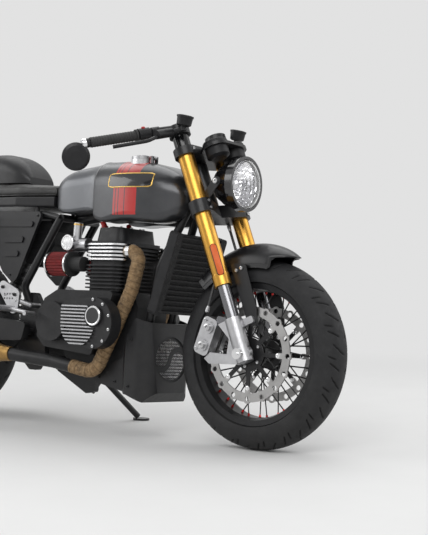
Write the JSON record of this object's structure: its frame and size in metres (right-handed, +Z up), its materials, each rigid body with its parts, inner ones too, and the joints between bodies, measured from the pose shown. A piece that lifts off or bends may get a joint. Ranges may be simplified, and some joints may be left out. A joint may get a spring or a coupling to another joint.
{
  "type": "cafe racer motorcycle",
  "caption": "Cafe racer motorcycle on its side stand: wire wheels, clip-on bars, gold fork, finned engine, wrapped exhaust, steering, turning wheels, folding stand and hinged filler cap.",
  "frame": {"origin": "middle of the base of the bounding box, on the ground", "axes": "+X forward, +Y to the rider's left, +Z up; the machine leans 5 degrees to its left on its side stand"},
  "size_m": [2.027, 0.8753, 1.0664],
  "materials": {
    "tyre_rubber": "matte black tyre rubber",
    "black_rim": "gloss black",
    "black_metal": "satin black",
    "tank_paint": "satin charcoal metallic with red stripes",
    "gloss_black": "gloss black",
    "gold_anodised": "gold anodised",
    "chrome": "polished",
    "silver_cast": "cast and machined silver",
    "disc_steel": "brushed steel",
    "engine_black": "black wrinkle with polished edges",
    "exhaust_wrap": "bronze heat wrap",
    "filter_red": "red pleated gauze with black ends",
    "leather": "black stitched leather",
    "rubber": "matte rubber",
    "lamp_glass": "clear lens over a reflector",
    "red_rubber": "red moulded rubber",
    "red_lens": "red lens",
    "black_plastic": "textured black",
    "chain_steel": "oiled steel"
  },
  "bodies": {
    "chassis": {"frame": "black_metal", "swingarm": "black_metal", "rear_axle": "silver_cast", "rear_shocks": "black_metal", "rear_caliper": "silver_cast", "chain": "chain_steel", "crankcase": "engine_black", "clutch_cover": "engine_black", "alternator_cover": "engine_black", "sprocket_cover": "engine_black", "cylinder_block": "engine_black", "cylinder_head": "engine_black", "throttle_bodies": "silver_cast", "air_filters": "filter_red", "exhaust_headers": "exhaust_wrap", "silencers": "black_metal", "radiator": "black_metal", "belly_pan": "black_plastic", "belly_grille": "black_plastic", "fuel_tank": "tank_paint", "seat": "leather", "seat_base": "black_plastic", "tail_cowl": "gloss_black", "tail_lamp": "red_lens", "side_panels": "black_plastic", "rearsets": "silver_cast", "swingarm_bosses": "black_metal", "plug_caps": "red_rubber", "battery_box": "black_plastic"},
    "steering": {"lower_yoke": "black_metal", "top_yoke": "black_metal", "fork_tubes": "gold_anodised", "fork_lowers": "silver_cast", "front_axle": "silver_cast", "front_calipers": "silver_cast", "front_fender": "gloss_black", "headlamp": "gloss_black", "headlamp_lens": "lamp_glass", "headlamp_stays": "black_metal", "gauges": "black_plastic", "handlebars": "black_metal", "grips": "rubber", "controls": "black_metal", "mirrors": "black_metal", "brake_hoses": "rubber"},
    "front_wheel": {"front_tyre": "tyre_rubber", "front_rim": "black_rim", "front_hub": "black_metal", "front_discs": "disc_steel"},
    "rear_wheel": {"rear_tyre": "tyre_rubber", "rear_rim": "black_rim", "rear_hub": "black_metal", "rear_disc": "disc_steel"},
    "side_stand": {"side_stand": "black_metal"},
    "filler_cap": {"filler_cap": "silver_cast"}
  },
  "joints": [
    {"name": "steering", "type": "hinge", "parent": "chassis", "child": "steering", "pos_m": [0.452, -0.00505, 0.83773], "axis": [-0.3875, 0.0803, 0.9184], "range_deg": [-27, 27]},
    {"name": "front_wheel_spin", "type": "hinge", "parent": "steering", "child": "front_wheel", "pos_m": [0.7135, -0.0522, 0.29886], "axis": [0, 0.9962, -0.0872], "continuous": true},
    {"name": "rear_wheel_spin", "type": "hinge", "parent": "chassis", "child": "rear_wheel", "pos_m": [-0.7015, -0.05115, 0.31081], "axis": [0, 0.9962, -0.0872], "continuous": true},
    {"name": "side_stand_fold", "type": "hinge", "parent": "chassis", "child": "side_stand", "pos_m": [-0.054, 0.06052, 0.16452], "axis": [0.0194, 0.7415, 0.6706], "range_deg": [0, 95]},
    {"name": "filler_cap_hinge", "type": "hinge", "parent": "chassis", "child": "filler_cap", "pos_m": [0.28, -0.05455, 0.93749], "axis": [0, 0.9962, -0.0872], "range_deg": [0, 100]}
  ]
}
